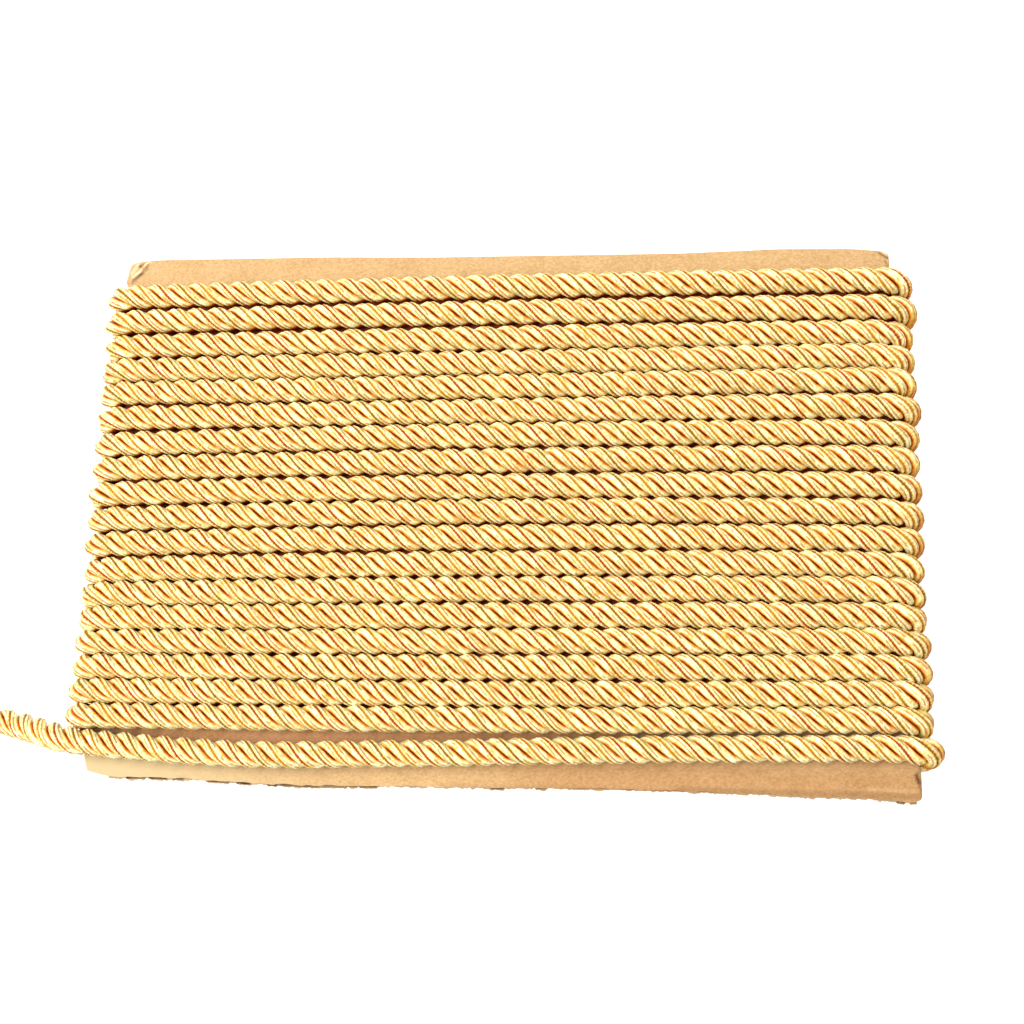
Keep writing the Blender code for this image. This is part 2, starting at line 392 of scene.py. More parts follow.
def winding_points():
    """The whole wound cord, from its hidden start to where the loose end begins."""
    lines = run_lines()
    first_turn = turn_points(lines[0], RUNS_MM[0], 1, False)
    first_middle, back_direction = first_turn[0]
    start_y = first_middle.y + START_RISE * (first_middle.x - START_X)
    points = [(Vector((START_X, start_y, BACK_Z)), back_direction)] + first_turn
    for index, (line, run) in enumerate(zip(lines[:-1], RUNS_MM[:-1])):
        points += face_points(line, turn_centre(run, 1), turn_centre(run, -1))
        points += turn_points(line, run, -1, True)
        points += turn_points(lines[index + 1], RUNS_MM[index + 1], 1, False)
    loose_start = Vector(ROUTE_MM[0]) * MM
    points += face_points(lines[-1], turn_centre(RUNS_MM[-1], 1), LOOSE_FROM_X,
                          loose_start.z - FACE_Z)
    return points + [(loose_start, UP)]


def evenly_spaced(middles, outward, spacing):
    """The same route as rings about a spacing apart, and each ring's distance along it."""
    steps = np.linalg.norm(np.diff(middles, axis=0), axis=1)
    along = np.concatenate(([0.0], np.cumsum(steps)))
    wanted = np.linspace(0.0, along[-1], round(along[-1] / spacing) + 1)
    placed, turned = (np.stack([np.interp(wanted, along, column) for column in rows.T], axis=1)
                      for rows in (middles, outward))
    return placed, turned, wanted


def eased(values, reach):
    """Values half a millimetre apart, blurred over a reach so that the route has no kinks."""
    offsets = np.arange(-3 * reach, 3 * reach + ROUTE_SPACING / 2, ROUTE_SPACING)
    weights = np.exp(-0.5 * (offsets / reach) ** 2)
    padded = np.pad(values, len(offsets) // 2, mode="reflect", reflect_type="odd")
    return np.convolve(padded, weights / weights.sum(), mode="valid")


def square_to_route(middles, outward):
    """Outward directions made square to the route and of length one."""
    tangents = np.gradient(middles, axis=0)
    tangents /= np.linalg.norm(tangents, axis=1, keepdims=True)
    square = outward - tangents * np.sum(outward * tangents, axis=1, keepdims=True)
    return square / np.linalg.norm(square, axis=1, keepdims=True)


def winding_route(spacing):
    """Ring middles, outward directions and distances along the whole wound cord."""
    middles, outward = (np.array(rows) for rows in zip(*winding_points()))
    middles, outward, _ = evenly_spaced(middles, outward, ROUTE_SPACING)
    middles[:, 1] = eased(middles[:, 1], TURN_EASING)
    middles, outward, along = evenly_spaced(middles, outward, spacing)
    return middles, square_to_route(middles, outward), along


def ring_before_middle(middles, on_face):
    """The last ring before x = 0 of each run on the card's face, or of each run on its back."""
    on_side = (middles[:, 2] > CARD_MIDDLE_Z) == on_face
    crosses = np.sign(middles[:-1, 0]) != np.sign(middles[1:, 0])
    return np.nonzero(on_side[:-1] & crosses)[0]


def strand_slip(middles, along, lay):
    """How many turns the strands at each ring are ahead of an even twist, so that every run has
    the strand spacing and the twist that the table gives it."""
    before = ring_before_middle(middles, True)
    part = middles[before, 0] / (middles[before, 0] - middles[before + 1, 0])
    run_middles = along[before] + part * (along[before + 1] - along[before])
    places, slips = [], []
    for middle, run in zip(run_middles, RUNS_MM):
        gain = SPACING_SPAN * (1 / (STRANDS * run.spacing * MM) - 1 / lay)
        slip = run.twist / STRANDS - middle / lay
        slip_before = slips[-1] if slips else 0.0
        slip += round(STRANDS * (slip_before - slip + gain)) / STRANDS
        places += [middle - SPACING_SPAN, middle, middle + SPACING_SPAN]
        slips += [slip - gain, slip, slip + gain]
    wander = np.array([noise.noise(Vector((place / TWIST_WANDER, 0.5, 0.5))) for place in along])
    wander -= np.interp(along, places, np.interp(places, along, wander))
    return np.interp(along, places, slips) + wander * TWIST_SLACK


def loose_twist(along, lay):
    """How many turns the loose end's strands are ahead of an even twist, and its thickness."""
    places, lays, thicknesses = np.array(LOOSE_MM).T
    lays = np.interp(along, places * MM, lays) * MM
    steps = np.diff(along) * (1 / ((lays[:-1] + lays[1:]) / 2) - 1 / lay)
    return np.concatenate(([0.0], np.cumsum(steps))), np.interp(along, places * MM, thicknesses)


def smooth_route(points):
    """Close points on a smooth curve through the given ones."""
    ends = [points[0] * 2 - points[1]] + points + [points[-1] * 2 - points[-2]]
    fine = []
    for before, start, end, after in zip(ends, ends[1:], ends[2:], ends[3:]):
        for part in range(16):
            t = part / 16
            pull_start = (end - before) * (t * (1 - t) ** 2) / 2
            pull_end = (after - start) * (t * t * (1 - t)) / 2
            blend = t * t * (3 - 2 * t)
            fine.append(start * (1 - blend) + end * blend + pull_start - pull_end)
    return fine + [points[-1]]


# ---- the cord's shape ----------------------------------------------------------------------
def cord_tree():
    """Geometry Nodes that sweep the twisted cord's cross-section along a route.

    The route is a line of vertices with their distance along it, the slip of the twist, the
    thickness and the outward direction. The cross-section has three strands of two plies each: a
    seam lies between a strand's plies, and a deep groove between two strands."""
    tree = bpy.data.node_groups.new("twisted_cord", "GeometryNodeTree")
    add = partial(add_node, tree)
    for name, direction, kind, default in (
        ("Geometry", "INPUT", "NodeSocketGeometry", None),
        ("Cord Diameter", "INPUT", "NodeSocketFloat", 2 * CORD_RADIUS),
        ("Lay", "INPUT", "NodeSocketFloat", 21.3 * MM),
        ("Unevenness", "INPUT", "NodeSocketFloat", 0.08),
        ("Held From", "INPUT", "NodeSocketFloat", 0.0),
        ("Held To", "INPUT", "NodeSocketFloat", 0.0),
        ("Yarn", "INPUT", "NodeSocketMaterial", None),
        ("Cut End", "INPUT", "NodeSocketMaterial", None),
        ("Geometry", "OUTPUT", "NodeSocketGeometry", None),
    ):
        socket = tree.interface.new_socket(name, in_out=direction, socket_type=kind)
        if default is not None:
            socket.default_value = default
    given = add("NodeGroupInput", output=None).outputs

    # The route, with the twist as its tilt
    along, slip, thickness, outward = (
        add("GeometryNodeInputNamedAttribute", (name,), data_type=kind)
        for name, kind in (("along", "FLOAT"), ("slip", "FLOAT"), ("thickness", "FLOAT"),
                           ("outward", "FLOAT_VECTOR")))
    turns = add("DIVIDE", (along, given["Lay"]))
    turns = add("ADD", (turns, slip))
    tilt = add("MULTIPLY", (turns, math.tau))
    route = add("GeometryNodeMeshToCurve", (given["Geometry"],))
    route = add("GeometryNodeSetCurveNormal", {"Curve": route, "Normal": outward}, mode="FREE")
    route = add("GeometryNodeSetCurveTilt", {"Curve": route, "Tilt": tilt})
    place = add("GeometryNodeInputPosition")
    kept_route = add("GeometryNodeCaptureAttribute", (route,), None, domain="POINT")
    for name, kind, value in (("Along", "FLOAT", along), ("Middle", "VECTOR", place),
                              ("Outward", "VECTOR", outward)):
        kept_route.capture_items.new(kind, name)
        tree.links.new(value, kept_route.inputs[name])
    route, kept_along, middle, kept_outward = (
        kept_route.outputs[name] for name in ("Geometry", "Along", "Middle", "Outward"))

    # The cross-section: a circle whose radius follows one curve from each groove, at 0, over a
    # ply's crest and down into the seam, at 1
    index = add("GeometryNodeInputIndex")
    across = add("DIVIDE", (index, POINTS_PER_PLY))
    from_groove = add("PINGPONG", (across, 1.0))
    shape = add("ShaderNodeFloatCurve", {"Value": from_groove}, None)
    curve = shape.mapping.curves[0]
    curve.points[0].location, curve.points[-1].location = PLY_SHAPE[0], PLY_SHAPE[-1]
    for point in PLY_SHAPE[1:-1]:
        curve.points.new(*point)
    shape.mapping.update()
    section = add("GeometryNodeCurvePrimitiveCircle",
                  {"Resolution": PLIES * POINTS_PER_PLY, "Radius": 0.5})
    radius = add("MULTIPLY", (given["Cord Diameter"], shape.outputs[0]))
    outline = add(VECTOR_MATH, {0: place, "Scale": radius}, operation="SCALE")
    section = add("GeometryNodeSetPosition", {"Geometry": section, "Position": outline})
    kept_section = add("GeometryNodeCaptureAttribute", (section,), None, domain="POINT")
    kept_section.capture_items.new("FLOAT", "Across")
    tree.links.new(across, kept_section.inputs["Across"])
    section, kept_across = kept_section.outputs["Geometry"], kept_section.outputs["Across"]

    # The swept cord, a little uneven as soft yarn is, and flat where it rests
    cord = add("GeometryNodeCurveToMesh", {"Curve": route, "Profile Curve": section,
                                           "Scale": thickness, "Fill Caps": True})
    from_middle = add(VECTOR_MATH, (place, middle), operation="SUBTRACT")
    lumps, swells = (add(NOISE, {"Vector": place, "Scale": 1 / (size * MM), "Detail": detail})
                     for size, detail in ((3.2, 1.0), (11, 0.0)))
    lumps = add("ADD", (lumps, swells))
    lumps = add("SUBTRACT", (lumps, 1.0))
    lumps = add("MULTIPLY", (lumps, given["Unevenness"]))
    lumps = add(VECTOR_MATH, {0: from_middle, "Scale": lumps}, operation="SCALE")
    cord = add("GeometryNodeSetPosition", {"Geometry": cord, "Offset": lumps})
    level = add(VECTOR_MATH, (place, (-10.0, -10.0, 0.0)), operation="MAXIMUM")
    cord = add("GeometryNodeSetPosition", {"Geometry": cord, "Position": level})

    # A UV map in millimetres along the cord and in plies across it. The last groove is both
    # 0 and 6, so its faces' corners that say 0 are given 6.
    face_across = add("GeometryNodeFieldOnDomain", {"Value": kept_across}, domain="FACE")
    lag = add("SUBTRACT", (face_across, kept_across))
    wraps = add("GREATER_THAN", (lag, 1.5))
    across_mapped = add("MULTIPLY_ADD", (wraps, float(PLIES), kept_across))
    along_mapped = add("DIVIDE", (kept_along, MM))
    mapped = add("ShaderNodeCombineXYZ", (along_mapped, across_mapped))
    cord = add(STORE, {"Geometry": cord, "Name": "UVMap", "Value": mapped}, data_type="FLOAT2",
               domain="CORNER")

    # How far down between its neighbours the surface lies, from 0 to 1, where turns lie side by
    # side, for the painted shade there. Round the card's right edge, on the side away from the key
    # light, the painted shade is as dark as half way down.
    direction = add(VECTOR_MATH, (from_middle,), operation="NORMALIZE")
    facing_out = add(VECTOR_MATH, (direction, kept_outward), "Value", operation="DOT_PRODUCT")
    between = add(MAP_RANGE, (facing_out, 0.5, -0.5))
    place_y = add(SEPARATE, (place,), "Y")
    outward_x = add(SEPARATE, (kept_outward,), "X")
    right_limb_shade = add(MAP_RANGE, (outward_x, 0.2, 1.0, 0.0, 0.51))
    after_first = add("GREATER_THAN", (place_y, given["Held From"]))
    before_last = add("LESS_THAN", (place_y, given["Held To"]))
    between = add("MULTIPLY", (between, after_first))
    between = add("MULTIPLY", (between, before_last))
    between = add("MAXIMUM", (between, right_limb_shade))
    for name, value in (("facing_out", facing_out), ("between_turns", between)):
        cord = add(STORE, {"Geometry": cord, "Name": name, "Value": value}, data_type="FLOAT",
                   domain="POINT")

    corners = add("GeometryNodeInputMeshFaceNeighbors", output="Vertex Count")
    is_end = add("FunctionNodeCompare", {"A": corners, "B": 4.5}, operation="GREATER_THAN")
    for kind, inputs in (
        ("GeometryNodeRealizeInstances", {}),
        ("GeometryNodeSetShadeSmooth", {}),
        ("GeometryNodeSetShadeSmooth", {"Selection": is_end, "Shade Smooth": False}),
        ("GeometryNodeSetMaterial", {"Material": given["Yarn"]}),
        ("GeometryNodeSetMaterial", {"Selection": is_end, "Material": given["Cut End"]}),
    ):
        cord = add(kind, {"Geometry": cord, **inputs})
    add("NodeGroupOutput", (cord,), None)
    return tree


def swept_cord(name, tree, route, settings, lay, held=(0.0, 0.0)):
    """A plain mesh of the twisted cord along a route of middles, outward directions, distances,
    slips and thicknesses. It lies between its neighbours from the first held y to the second."""
    middles, outward, along, slip, thickness = route
    line = bpy.data.meshes.new(name + "_route")
    edges = np.stack([np.arange(len(middles) - 1), np.arange(1, len(middles))], axis=1)
    line.from_pydata(middles.tolist(), edges.tolist(), [])
    keep_on_points(line, outward=outward, along=along, slip=slip, thickness=thickness)
    piece = add_object(name, line)
    modifier = piece.modifiers.new("twisted_cord", "NODES")
    modifier.node_group = tree
    values = {
        "Cord Diameter": settings.diameter,
        "Lay": lay,
        "Unevenness": settings.unevenness,
        "Held From": held[0],
        "Held To": held[1],
        "Yarn": bpy.data.materials["satin_gimp_yarn"],
        "Cut End": bpy.data.materials["cotton_core"],
    }
    for socket in tree.interface.items_tree:
        if socket.in_out == "INPUT" and socket.name in values:
            modifier[socket.identifier] = values[socket.name]
    evaluated = piece.evaluated_get(bpy.context.evaluated_depsgraph_get())
    swept = bpy.data.meshes.new_from_object(evaluated)
    swept.name = name
    piece.modifiers.clear()
    piece.data = swept
    bpy.data.meshes.remove(line)
    return piece


# ---- materials -----------------------------------------------------------------------------
def set_stops(ramp, stops):
    """Gives a colour ramp its stops, each a position and a colour, and returns its output."""
    elements = ramp.color_ramp.elements
    for element, stop in ((elements[0], stops[0]), (elements[-1], stops[-1])):
        element.position, element.color = stop
    for position, colour in stops[1:-1]:
        elements.new(position).color = colour
    return ramp.outputs[0]


def mix_over(add, colour, *layers):
    """Mixes layers over a colour. A layer is its share, its colour and how it is mixed."""
    for share, tint, blend in layers:
        colour = add(MIX, {0: share, 6: colour, 7: tint}, 2, data_type="RGBA", blend_type=blend)
    return colour


def shade_surface(add, surface):
    """Ends a material with one shader that has these inputs."""
    add("ShaderNodeOutputMaterial", (add("ShaderNodeBsdfPrincipled", surface),), None)


def satin_gimp_yarn(settings):
    """Gimp yarn, a cotton core wrapped round and round in shiny rayon: gold plies with a painted
    pale highlight of sheen on their crests and painted orange shade down their flanks, brown seams
    with fine teeth where the wraps of two plies meet, painted dark red-brown shade in the grooves
    between the strands, and painted shade down between the turns and round the card's right edge."""
    add = no_nodes_yet(bpy.data.materials.new("satin_gimp_yarn"))
    crest, flank_gold, groove = ((*colour, 1.0) for colour in (
        settings.crest_sheen_colour, settings.flank_colour, settings.groove_shade_colour))
    mapped = add("ShaderNodeUVMap", uv_map="UVMap")
    along, across = add(SEPARATE, (mapped,), None).outputs[:2]
    place = add(COORDINATES, output="Object")
    # Uneven patterns, each with its size in mm and how much finer detail it has
    waver, drift, patches, mottle, rust, parted = (
        add(NOISE, {"Vector": place, "Scale": 1 / (size * MM), "Detail": detail})
        for size, detail in ((1.3, 2.0), (4, 1.0), (9, 3.0), (1.0, 1.0), (6, 2.0), (5, 2.0)))

    # The rayon wraps, two thirds of a millimetre apart along the cord and slanting across each
    # ply. The real ones are finer, and are drawn as coarse as they need to be to show.
    wrap_slant = add("MULTIPLY_ADD", (across, 1.46, along))
    wrap_turns = add("MULTIPLY_ADD", (wrap_slant, 1 / 0.65, waver))
    wraps = add("PINGPONG", (wrap_turns, 0.5))
    wraps = add("MULTIPLY", (wraps, 2.0))

    # From the groove between two strands, at 0, to the seam inside a strand, at 1
    from_groove = add("PINGPONG", (across, 1.0))
    drift = add(MAP_RANGE, (drift, 0.0, 1.0, -0.07, 0.07))
    flank = add("ADD", (from_groove, drift))
    # Painted shade in the grooves: dark where a groove is deep, at the top of the cord, and lighter
    # towards the cord's sides, where the plies close over it
    facing = add(ATTRIBUTE, output="Fac", attribute_name="facing_out")
    closing = add(MAP_RANGE, (facing, 0.80, 0.45, 0.0, 0.11))
    flank = add("ADD", (flank, closing))
    # The ramp paints shade, dark red-brown in the groove and orange on its sides, and a pale
    # painted highlight of sheen on the crests
    gold = set_stops(add("ShaderNodeValToRGB", (flank,), None), (
        (0.04, groove), (0.11, linear("C4581A")), (0.20, flank_gold), (0.36, crest)))

    # Yellower in patches, and in streaks that run along the plies
    shade = add(MAP_RANGE, (patches, 0.3, 0.7, 0.86, 1.06))
    fine = add(MAP_RANGE, (wraps, 0.0, 1.0, 0.92, 1.03))
    shade = add("MULTIPLY", (shade, fine))
    ply_lines = add(MAPPING, {"Vector": mapped, "Scale": (0.35, 7.0, 1.0)})
    streaks = add(NOISE, {"Vector": ply_lines, "Scale": 1.0, "Detail": 3.0, "Roughness": 0.65})
    mottle = add("MULTIPLY_ADD", (mottle, 0.6, streaks))
    yellow = add(MAP_RANGE, (mottle, 0.72, 1.00))
    gold = mix_over(add, gold, (yellow, linear("DEBA54"), "MULTIPLY"))
    gold = add(VECTOR_MATH, {0: gold, "Scale": shade}, operation="SCALE")

    # Here and there a ply shows more of its deep orange
    rust = add(MAP_RANGE, (rust, 0.56, 0.74, 0.0, 0.45))

    # Each strand's seam has its own brown: honey, rust or olive
    strand = add("DIVIDE", (across, 2.0))
    strand = add("FLOOR", (strand,))
    strand = add("MULTIPLY", (strand, 0.4))
    seams = add("ShaderNodeValToRGB", (strand,), None)
    seams.color_ramp.interpolation = "CONSTANT"
    seams = set_stops(seams, ((0.0, linear("A26A1E")), (0.34, linear("8E3410")),
                              (0.67, linear("7C5018"))))
    from_seam = add("SUBTRACT", (1.0, from_groove))
    teeth = add(MAP_RANGE, (wraps, 0.0, 1.0, -0.03, 0.03))
    from_seam = add("ADD", (from_seam, teeth))
    fray = add(MAP_RANGE, (waver, 0.0, 1.0, -0.09, 0.09))
    from_seam = add("ADD", (from_seam, fray))
    near_seam = add(MAP_RANGE, (from_seam, 0.10, 0.34, 0.75, 0.0))
    in_seam = add(MAP_RANGE, (from_seam, 0.06, 0.20, 1.0, 0.0))

    # Here and there the yarns of one ply part in a thin line of their own
    parting = add("ADD", (from_groove, fray))
    parting = add("SUBTRACT", (parting, 0.54))
    parting = add("ABSOLUTE", (parting,))
    parting = add(MAP_RANGE, (parting, 0.02, 0.13, 0.9, 0.0))
    parted = add(MAP_RANGE, (parted, 0.42, 0.50))
    parting = add("MULTIPLY", (parting, parted))

    # Painted shade down between two turns and round the card's right edge: the yarn is darker and
    # redder there
    between = add(ATTRIBUTE, output="Fac", attribute_name="between_turns")
    turn_shade = set_stops(add("ShaderNodeValToRGB", (between,), None), (
        (0.30, linear("FFFFFF")), (0.43, linear("F7E2A4")), (0.52, linear("D88A38")),
        (0.66, linear("96320C"))))

    colour = mix_over(
        add, gold, (rust, linear("D68C3C"), "MIX"), (near_seam, flank_gold, "MIX"),
        (in_seam, seams, "MIX"), (parting, linear("A4642A"), "MIX"), (1.0, turn_shade, "MULTIPLY"))
    bump = add("ShaderNodeBump", {"Strength": 0.28, "Distance": 0.10 * MM, "Height": wraps})
    shade_surface(add, {"Base Color": colour, "Roughness": 0.45, "Specular IOR Level": 0.08,
                        "Normal": bump})


def cotton_core():
    """The cut ends of the plies: matte cream cotton with darker gaps between its fibres."""
    add = no_nodes_yet(bpy.data.materials.new("cotton_core"))
    place = add(COORDINATES, output="Object")
    fibres = add(NOISE, {"Vector": place, "Scale": 1 / (0.25 * MM), "Detail": 2.0})
    colour = mix_over(add, linear("B99A5E"), (fibres, linear("F3E7C4"), "MIX"))
    bump = add("ShaderNodeBump", {"Distance": 0.2 * MM, "Height": fibres})
    shade_surface(add, {"Base Color": colour, "Roughness": 0.9, "Normal": bump})


def kraft_paper(name, light, dark):
    """Unbleached kraft liner: matte tan paper, cloudy in tone, with pressed-in fibres and a few
    dark specks of bark. Along the near edge it has painted light on the left and painted shade on
    the right, it has painted shade where the cord covers it, and its creases have painted shade in
    their folds and a painted highlight on their ridges."""
    add = no_nodes_yet(bpy.data.materials.new(name))
    place = add(COORDINATES, output="Object")
    clouds = add(NOISE, {"Vector": place, "Scale": 1 / (14 * MM), "Detail": 5.0,
                         "Roughness": 0.6})
    # Single fibres are too fine to show, so they are drawn in coarser bunches
    stretched = add(MAPPING, {"Vector": place, "Scale": (0.7, 1.0, 1.0)})
    fibres = add(NOISE, {"Vector": stretched, "Scale": 1 / (0.7 * MM), "Detail": 3.0,
                         "Roughness": 0.7})
    tone = add("MULTIPLY_ADD", (clouds, 0.35, fibres))
    tone = add(MAP_RANGE, (tone, 0.42, 0.92))
    x, y = add(SEPARATE, (place,), None).outputs[:2]
    # Painted light on the left of the near edge and painted shade on its right, as the light falls
    # off to the right
    near = add(MAP_RANGE, (y, -79 * MM, -83 * MM))
    painted_light_left = add(MAP_RANGE, (x, -30 * MM, -128 * MM, 0.0, 0.85), interpolation_type="SMOOTHSTEP")
    painted_light_left = add("MULTIPLY", (painted_light_left, near))
    painted_shade_right = add(MAP_RANGE, (x, -15 * MM, 30 * MM), interpolation_type="SMOOTHSTEP")
    painted_shade_right = add("MULTIPLY", (painted_shade_right, near))
    # Painted shade where the winding covers the liner
    covered = add(ATTRIBUTE, output="Fac", attribute_name="under_winding")
    creases = add(ATTRIBUTE, output="Fac", attribute_name="creases")
    # Painted shade in the creases' folds and painted highlight on their ridges
    fold_shade = add(MAP_RANGE, (creases, 0.0, -1.0))
    ridge_highlight = add(MAP_RANGE, (creases, 0.0, 1.0, 0.0, 0.8))
    specks = add("ShaderNodeTexVoronoi", {"Vector": place, "Scale": 1 / (9 * MM)}, "Distance")
    specks = add(MAP_RANGE, (specks, 0.02, 0.045, 0.6, 0.0))
    colour = mix_over(
        add, dark, (tone, light, "MIX"), (painted_light_left, linear("B29E76"), "MIX"),
        (painted_shade_right, linear("ECDFD6"), "MULTIPLY"), (covered, linear("8A3410"), "MIX"),
        (fold_shade, linear("54361C"), "MIX"), (ridge_highlight, linear("D8C098"), "MIX"),
        (specks, linear("6B4A2C"), "MIX"))
    bump = add("ShaderNodeBump", {"Strength": 0.35, "Distance": 0.1 * MM, "Height": fibres})
    shade_surface(add, {"Base Color": colour, "Roughness": 0.85, "Specular IOR Level": 0.3,
                        "Normal": bump})


def torn_paper_fibres():
    """Torn board: pale fluff of paper fibres, and painted dark shade for the gap between liner and
    flutes.
    """
    add = no_nodes_yet(bpy.data.materials.new("torn_paper_fibres"))
    place = add(COORDINATES, output="Object")
    fluff = add(NOISE, {"Vector": place, "Scale": 1 / (0.5 * MM), "Detail": 3.0})
    past = add(ATTRIBUTE, output="Fac", attribute_name="past_edge")
    depth = add(ATTRIBUTE, output="Fac", attribute_name="gap_depth")
    # Painted shade of the gap behind the torn liner, deeper in the tears
    gap = add(MAP_RANGE, (past, 0.45, 0.9, 1.0, 0.0))
    gap = add("MULTIPLY", (gap, depth))
    broken = add(MAP_RANGE, (fluff, 0.25, 0.45))
    gap = add("MULTIPLY", (gap, broken))
    colour = mix_over(add, linear("7E6246"), (fluff, linear("D2B892"), "MIX"),
                      (gap, linear("2E1E18"), "MIX"))
    shade_surface(add, {"Base Color": colour, "Roughness": 0.95, "Specular IOR Level": 0.1})


def matte_pale_paper(settings):
    """The floor: matte pale paper with no gloss, which glows a little as on a light table."""
    add = no_nodes_yet(bpy.data.materials.new("matte_pale_paper"))
    colour = (*settings.floor_colour, 1.0)
    shade_surface(add, {"Base Color": colour, "Roughness": 0.9, "Specular IOR Level": 0.1,
                        "Emission Color": colour, "Emission Strength": settings.floor_glow})


# ---- the card ------------------------------------------------------------------------------
def pressed_edge(side, y):
    """x of the card's edge where the turns pull on it: inside each turn that is near y."""
    near = []
    for line, run in zip(run_lines(), RUNS_MM):
        centre_x = turn_centre(run, side)
        if abs(run_y(line, centre_x) - y) < TURN_PULL:
            near.append(abs(centre_x))
    return side * (min(near) + CARD_THICKNESS / 2)


def card_sections():
    """y, left edge, right edge and edge rounding of the card, from the near edge to the far."""
    near, under, far = (
        [(section.y * MM, section.left * MM, section.right * MM, rounding)
         for section in sections]
        for sections, rounding in ((NEAR_SECTIONS_MM, CUT_EDGE_ROUNDING),
                                   (UNDER_LOOSE_MM, CARD_THICKNESS / 2),
                                   (FAR_SECTIONS_MM, CUT_EDGE_ROUNDING)))
    held = [(y, pressed_edge(-1, y), pressed_edge(1, y), CARD_THICKNESS / 2)
            for _, y, _ in reversed(run_lines()[:-1])]
    return np.array(near + under + held + far)


def spread(low, high, fine, coarse, growth):
    """Values from low to high, close together near both ends and further apart between."""
    steps = np.cumsum([fine * growth ** power for power in range(30)])
    steps = steps[steps < 8 * coarse]
    start, end = low + steps[-1], high - steps[-1]
    between = np.linspace(start, end, max(2, round((end - start) / coarse)))[1:-1]
    return np.concatenate(([low], low + steps, between, high - steps[::-1], [high]))


def closed_sheet(name, top, bottom, material):
    """A closed sheet between two grids of points, with its rim."""
    rows, columns = top.shape[:2]
    count = rows * columns
    index = np.arange(count).reshape(rows, columns)
    upper = np.stack((index[:-1, :-1], index[:-1, 1:], index[1:, 1:], index[1:, :-1]), axis=2)
    upper = upper.reshape(-1, 4)
    lower = upper[:, (0, 3, 2, 1)] + count
    rim = np.concatenate((index[0], index[1:, -1], index[-1, -2::-1], index[-2:0:-1, 0]))
    after = np.roll(rim, -1)
    sides = np.stack((after, rim, rim + count, after + count), axis=1)
    mesh = bpy.data.meshes.new(name)
    mesh.from_pydata(np.concatenate((top, bottom)).reshape(-1, 3).tolist(), [],
                     np.concatenate((upper, lower, sides)).tolist())
    mesh.shade_smooth()
    mesh.set_sharp_from_angle(angle=math.radians(50))
    mesh.materials.append(bpy.data.materials[material])
    return add_object(name, mesh)


def wave_at(x, table):
    """How far a cut edge stands out of line at each x."""
    return np.interp(x, *(np.array(table).T * MM))


def wiggle(places, layers):
    """Uneven distances, one for each place. A layer has its size and reach in mm, and a seed."""
    return np.array([sum(size * noise.noise(Vector((place / (reach * MM), seed, 0.5)))
                         for size, reach, seed in layers) for place in places]) * MM


def under_winding(x, y):
    """How much painted shade the winding casts on the card at each point, from 0 to 1: full where
    it covers the card, and part of it beside the last run.
    """
    lines = run_lines()
    near, far = run_y(lines[-2], x) - SHADE_PAST_NEAR, run_y(lines[0], x) + SHADE_PAST_FAR
    covered = np.clip((y - near) / SHADE_FADE, 0, 1) * np.clip((far - y) / SHADE_FADE, 0, 1)
    beside_last = np.clip((y - LAST_RUN_Y) / SHADE_FADE, 0, 1) * (y < 0) * SHADE_BESIDE_LAST
    return np.maximum(covered, beside_last)


def creased(x, y):
    """The painted shade, below 0, and painted highlight, above 0, of the liner's creases at each
    point.
    """
    shade = np.zeros(x.shape)
    for crease in CREASES_MM:
        start = np.array((crease.x1, crease.y1)) * MM
        way = np.array((crease.x2, crease.y2)) * MM - start
        part = ((x - start[0]) * way[0] + (y - start[1]) * way[1]) / (way @ way)
        part = np.clip(part, 0, 1)
        off = np.hypot(x - start[0] - part * way[0], y - start[1] - part * way[1])
        shade += crease.shade * np.clip(CREASE_REACH - off / (crease.width * MM), 0, 1)
    return np.clip(shade, -1, 1)


def across_card(ys, fine, coarse, growth, margin=0.0):
    """x and y over rows of the card at ys, which stop a margin short of its sides, and the drop of
    its surface towards those sides. The columns are fine mm apart near the sides and coarse mm
    apart between them."""
    sections = card_sections()
    left, right, rounding = (np.interp(ys, sections[:, 0], sections[:, column])[:, None]
                             for column in (1, 2, 3))
    left, right = left + margin, right - margin
    shares = spread(-HALF_CARD_MM, HALF_CARD_MM, fine, coarse, growth) / (2 * HALF_CARD_MM) + 0.5
    x = left + (right - left) * shares
    inset = np.minimum(x - left, right - x) + margin
    inside = np.clip(1 - inset / rounding, 0, 1)
    return x, np.repeat(ys[:, None], len(shares), axis=1), rounding * (1 - np.sqrt(1 - inside ** 2))


def card_grid():
    """x and y over the card inside its outline, and the drop of its surface towards its edges."""
    sections = card_sections()
    ys = spread(sections[0, 0], sections[-1, 0], 0.25 * MM, 2.2 * MM, 1.13)
    x, y, drop = across_card(ys, 0.25, 2.0, 1.13)
    from_near, from_far = y - ys[0], ys[-1] - y
    ragged = wiggle(x[0], RAGGED_EDGE) * np.clip(1 - from_near / RAGGED_REACH, 0, 1)
    y = (y - wave_at(x, NEAR_WAVE_MM) * np.clip(1 - from_near / WAVE_REACH, 0, 1) ** 2 - ragged
         + wave_at(x, FAR_WAVE_MM) * np.clip(1 - from_far / WAVE_REACH, 0, 1) ** 2)
    return x, y, drop


